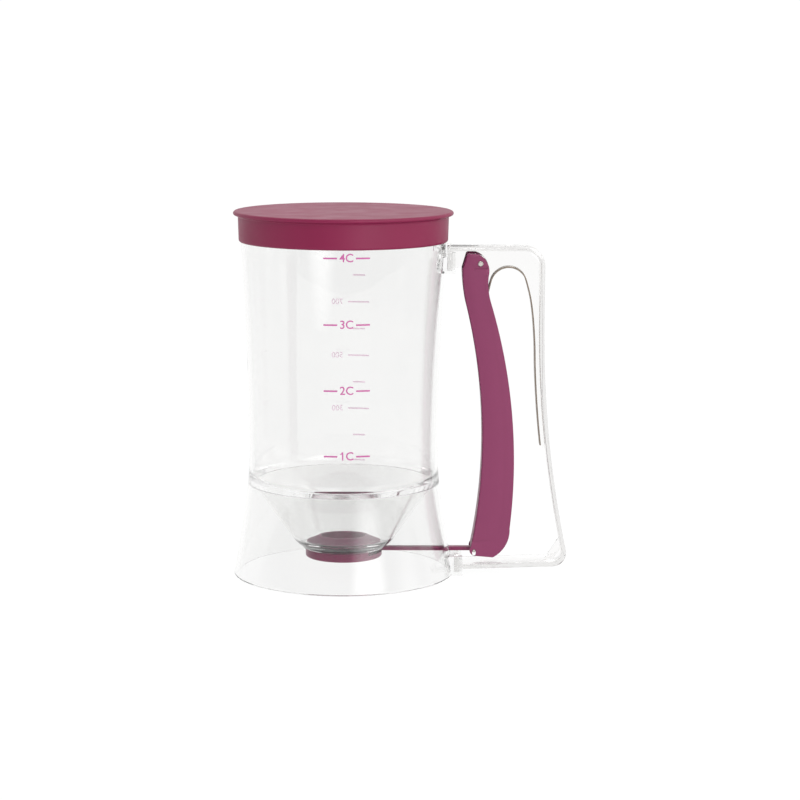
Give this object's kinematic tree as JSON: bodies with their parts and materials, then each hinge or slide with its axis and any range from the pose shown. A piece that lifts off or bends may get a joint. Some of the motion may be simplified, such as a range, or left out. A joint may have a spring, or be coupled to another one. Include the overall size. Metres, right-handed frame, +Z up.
{
  "type": "pancake batter dispenser",
  "caption": "Clear measuring jug with a coloured press-on lid, a side handle, and a squeeze lever that opens a gate over the outlet under its funnel floor.",
  "frame": {"origin": "centre of the base ring on the table plane", "axes": "+Z up along the jug's axis, +X from the jug towards the handle, +Y to the back, away from the camera"},
  "size_m": [0.1714, 0.1134, 0.187],
  "materials": {
    "clear_jug": "clear, polished",
    "clear_handle": "clear, polished",
    "lid_plastic": "fine matt top, satin sides",
    "lever_plastic": "satin",
    "gate_plastic": "satin",
    "coloured": "satin",
    "steel": "bright",
    "spring_steel": "dark tempered",
    "front_ink": "printed",
    "back_ink": "printed"
  },
  "bodies": {
    "dispenser": {"jug_body": "clear_jug", "handle_frame": "clear_handle", "outlet_cap": "coloured", "valve_seat": "coloured", "pivot_pin": "steel", "return_spring": "spring_steel", "cup_scale": "front_ink", "millilitre_scale": "back_ink"},
    "lid": {"lid": "lid_plastic"},
    "lever": {"trigger_lever": "lever_plastic"},
    "gate": {"gate_slide": "gate_plastic", "rod_pin": "steel"}
  },
  "joints": [
    {"name": "lid_lift", "type": "slide", "parent": "dispenser", "child": "lid", "axis": [0, 0, 1], "range_m": [0, 0.03]},
    {"name": "trigger_pull", "type": "hinge", "parent": "dispenser", "child": "lever", "pos_m": [0.0695, 0, 0.1607], "axis": [0, -1, 0], "range_deg": [0, 8], "stiffness_Nm_per_rad": 1.2, "springref_deg": -5.73, "deforming": ["return_spring"]},
    {"name": "gate_pull", "type": "slide", "parent": "dispenser", "child": "gate", "axis": [1, 0, 0], "range_m": [0, 0.0209]}
  ],
  "couplings": [
    {"joint": "gate_pull", "follows": "trigger_pull", "m_per_rad": 0.1491}
  ]
}
